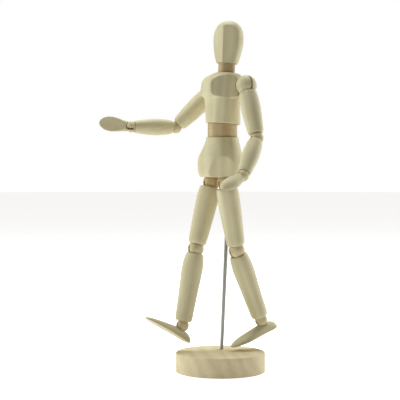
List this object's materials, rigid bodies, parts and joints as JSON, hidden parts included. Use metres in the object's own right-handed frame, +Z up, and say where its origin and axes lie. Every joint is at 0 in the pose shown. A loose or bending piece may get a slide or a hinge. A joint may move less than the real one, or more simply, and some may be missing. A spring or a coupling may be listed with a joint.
{
  "type": "artist mannequin",
  "caption": "Jointed wooden artist mannequin in a walking pose, held by a steel rod on a round wooden base.",
  "frame": {"origin": "middle of the base disc's underside", "axes": "+Z up, the figure faces -Y, its left side is +X"},
  "size_m": [0.1409, 0.1339, 0.3063],
  "materials": {
    "body_wood": "satin",
    "joint_wood": "satin",
    "base_wood": "satin",
    "rod_steel": "satin",
    "spring_steel": "satin"
  },
  "bodies": {
    "stand": {"base_disc": "base_wood", "support_rod": "rod_steel"},
    "pelvis": {"pelvis": "body_wood", "pelvis_hook": "spring_steel", "hip_hook_l": "spring_steel", "hip_hook_r": "spring_steel"},
    "waist": {"waist_block": "joint_wood", "waist_pin": "spring_steel"},
    "chest": {"chest": "body_wood", "shoulder_spring": "spring_steel", "spine_spring": "spring_steel"},
    "neck": {"neck_block": "joint_wood", "neck_pin": "spring_steel"},
    "head": {"head": "body_wood", "head_hook": "spring_steel"},
    "shoulder_l": {"shoulder_ball_l": "joint_wood", "shoulder_pin_l": "spring_steel"},
    "upper_arm_l": {"upper_arm_l": "body_wood", "upper_arm_spring_l": "spring_steel"},
    "elbow_l": {"elbow_ball_l": "joint_wood", "elbow_pin_l": "spring_steel"},
    "forearm_l": {"forearm_l": "body_wood", "forearm_spring_l": "spring_steel"},
    "wrist_l": {"wrist_ball_l": "joint_wood"},
    "hand_l": {"hand_l": "body_wood", "hand_hook_l": "spring_steel"},
    "hip_l": {"hip_ball_l": "joint_wood", "hip_pin_l": "spring_steel"},
    "thigh_l": {"thigh_l": "body_wood", "thigh_spring_l": "spring_steel"},
    "knee_l": {"knee_ball_l": "joint_wood", "knee_pin_l": "spring_steel"},
    "shin_l": {"shin_l": "body_wood", "shin_spring_l": "spring_steel"},
    "ankle_l": {"ankle_ball_l": "joint_wood"},
    "foot_l": {"foot_l": "body_wood", "foot_hook_l": "spring_steel"},
    "shoulder_r": {"shoulder_ball_r": "joint_wood", "shoulder_pin_r": "spring_steel"},
    "upper_arm_r": {"upper_arm_r": "body_wood", "upper_arm_spring_r": "spring_steel"},
    "elbow_r": {"elbow_ball_r": "joint_wood", "elbow_pin_r": "spring_steel"},
    "forearm_r": {"forearm_r": "body_wood", "forearm_spring_r": "spring_steel"},
    "wrist_r": {"wrist_ball_r": "joint_wood"},
    "hand_r": {"hand_r": "body_wood", "hand_hook_r": "spring_steel"},
    "hip_r": {"hip_ball_r": "joint_wood", "hip_pin_r": "spring_steel"},
    "thigh_r": {"thigh_r": "body_wood", "thigh_spring_r": "spring_steel"},
    "knee_r": {"knee_ball_r": "joint_wood", "knee_pin_r": "spring_steel"},
    "shin_r": {"shin_r": "body_wood", "shin_spring_r": "spring_steel"},
    "ankle_r": {"ankle_ball_r": "joint_wood"},
    "foot_r": {"foot_r": "body_wood", "foot_hook_r": "spring_steel"}
  },
  "joints": [
    {"name": "figure_turn", "type": "hinge", "parent": "stand", "child": "pelvis", "pos_m": [-0.009, 0.015, 0.1693], "axis": [0.0216, 0.0426, 0.9989], "continuous": true},
    {"name": "waist_twist", "type": "hinge", "parent": "pelvis", "child": "waist", "pos_m": [-0.009, 0.0079, 0.21], "axis": [0, 0, 1], "range_deg": [-40, 40]},
    {"name": "waist_bend", "type": "hinge", "parent": "waist", "child": "chest", "pos_m": [-0.009, 0.0079, 0.21], "axis": [1, 0, 0], "range_deg": [-18, 22]},
    {"name": "neck_twist", "type": "hinge", "parent": "chest", "child": "neck", "pos_m": [-0.009, 0.01219, 0.26453], "axis": [0, 0.0785, 0.9969], "range_deg": [-115, 50]},
    {"name": "head_nod", "type": "hinge", "parent": "neck", "child": "head", "pos_m": [-0.009, 0.01219, 0.26453], "axis": [0.8746, 0.4833, -0.038], "range_deg": [-26, 30]},
    {"name": "shoulder_swing_l", "type": "hinge", "parent": "chest", "child": "shoulder_l", "pos_m": [0.0155, 0.01644, 0.24845], "axis": [1, 0, 0], "range_deg": [-150, 40]},
    {"name": "shoulder_spread_l", "type": "hinge", "parent": "shoulder_l", "child": "upper_arm_l", "pos_m": [0.0155, 0.01644, 0.24845], "axis": [0, -0.9981, 0.061], "range_deg": [-8, 66]},
    {"name": "elbow_twist_l", "type": "hinge", "parent": "upper_arm_l", "child": "elbow_l", "pos_m": [0.03584, 0.01365, 0.20286], "axis": [0.4067, -0.0558, -0.9118], "range_deg": [-80, 80]},
    {"name": "elbow_bend_l", "type": "hinge", "parent": "elbow_l", "child": "forearm_l", "pos_m": [0.03584, 0.01365, 0.20286], "axis": [-0.9135, -0.0128, -0.4067], "range_deg": [-29, 35]},
    {"name": "wrist_twist_l", "type": "hinge", "parent": "forearm_l", "child": "wrist_l", "pos_m": [0.0502, -0.0101, 0.17134], "axis": [0.342, -0.5655, -0.7505], "range_deg": [-85, 85]},
    {"name": "wrist_bend_l", "type": "hinge", "parent": "wrist_l", "child": "hand_l", "pos_m": [0.0502, -0.0101, 0.17134], "axis": [-0.9246, -0.0602, -0.376], "range_deg": [-70, 17]},
    {"name": "hip_turn_l", "type": "hinge", "parent": "pelvis", "child": "hip_l", "pos_m": [0.0028, 0.0039, 0.1645], "axis": [0, 0, 1], "range_deg": [-30, 6]},
    {"name": "hip_swing_l", "type": "hinge", "parent": "hip_l", "child": "thigh_l", "pos_m": [0.0028, 0.0039, 0.1645], "axis": [1, 0, 0], "range_deg": [-66, 16]},
    {"name": "knee_twist_l", "type": "hinge", "parent": "thigh_l", "child": "knee_l", "pos_m": [0.0028, 0.01513, 0.10505], "axis": [0, 0.1857, -0.9826], "range_deg": [-30, 30]},
    {"name": "knee_bend_l", "type": "hinge", "parent": "knee_l", "child": "shin_l", "pos_m": [0.0028, 0.01513, 0.10505], "axis": [1, 0, 0], "range_deg": [-12, 50]},
    {"name": "ankle_twist_l", "type": "hinge", "parent": "shin_l", "child": "ankle_l", "pos_m": [0.0028, 0.04127, 0.04227], "axis": [0, 0.3843, -0.9232], "range_deg": [-30, 30]},
    {"name": "ankle_bend_l", "type": "hinge", "parent": "ankle_l", "child": "foot_l", "pos_m": [0.0028, 0.04127, 0.04227], "axis": [1, 0, 0], "range_deg": [-50, 3]},
    {"name": "shoulder_swing_r", "type": "hinge", "parent": "chest", "child": "shoulder_r", "pos_m": [-0.0335, 0.01644, 0.24845], "axis": [1, 0, 0], "range_deg": [-110, 75]},
    {"name": "shoulder_spread_r", "type": "hinge", "parent": "shoulder_r", "child": "upper_arm_r", "pos_m": [-0.0335, 0.01644, 0.24845], "axis": [0, 0.7738, -0.6334], "range_deg": [-2, 68]},
    {"name": "elbow_twist_r", "type": "hinge", "parent": "upper_arm_r", "child": "elbow_r", "pos_m": [-0.05542, -0.01202, 0.21367], "axis": [-0.4384, -0.5693, -0.6955], "range_deg": [-80, 80]},
    {"name": "elbow_bend_r", "type": "hinge", "parent": "elbow_r", "child": "forearm_r", "pos_m": [-0.05542, -0.01202, 0.21367], "axis": [-0.8932, 0.1899, 0.4076], "range_deg": [-47, 17]},
    {"name": "wrist_twist_r", "type": "hinge", "parent": "forearm_r", "child": "wrist_r", "pos_m": [-0.06415, -0.0531, 0.21367], "axis": [-0.2079, -0.9781, 0], "range_deg": [-85, 85]},
    {"name": "wrist_bend_r", "type": "hinge", "parent": "wrist_r", "child": "hand_r", "pos_m": [-0.06415, -0.0531, 0.21367], "axis": [-0.408, 0.0867, -0.9089], "range_deg": [-62, 26]},
    {"name": "hip_turn_r", "type": "hinge", "parent": "pelvis", "child": "hip_r", "pos_m": [-0.0208, 0.0039, 0.1645], "axis": [0, 0, 1], "range_deg": [-30, 0]},
    {"name": "hip_swing_r", "type": "hinge", "parent": "hip_r", "child": "thigh_r", "pos_m": [-0.0208, 0.0039, 0.1645], "axis": [1, 0, 0], "range_deg": [-40, 2]},
    {"name": "knee_twist_r", "type": "hinge", "parent": "thigh_r", "child": "knee_r", "pos_m": [-0.0208, -0.01247, 0.10626], "axis": [0, -0.2706, -0.9627], "range_deg": [-30, 30]},
    {"name": "knee_bend_r", "type": "hinge", "parent": "knee_r", "child": "shin_r", "pos_m": [-0.0208, -0.01247, 0.10626], "axis": [1, 0, 0], "range_deg": [0, 8]},
    {"name": "ankle_twist_r", "type": "hinge", "parent": "shin_r", "child": "ankle_r", "pos_m": [-0.0208, -0.02603, 0.03962], "axis": [0, -0.1994, -0.9799], "range_deg": [-30, 30]},
    {"name": "ankle_bend_r", "type": "hinge", "parent": "ankle_r", "child": "foot_r", "pos_m": [-0.0208, -0.02603, 0.03962], "axis": [1, 0, 0], "range_deg": [-38, 10]}
  ]
}
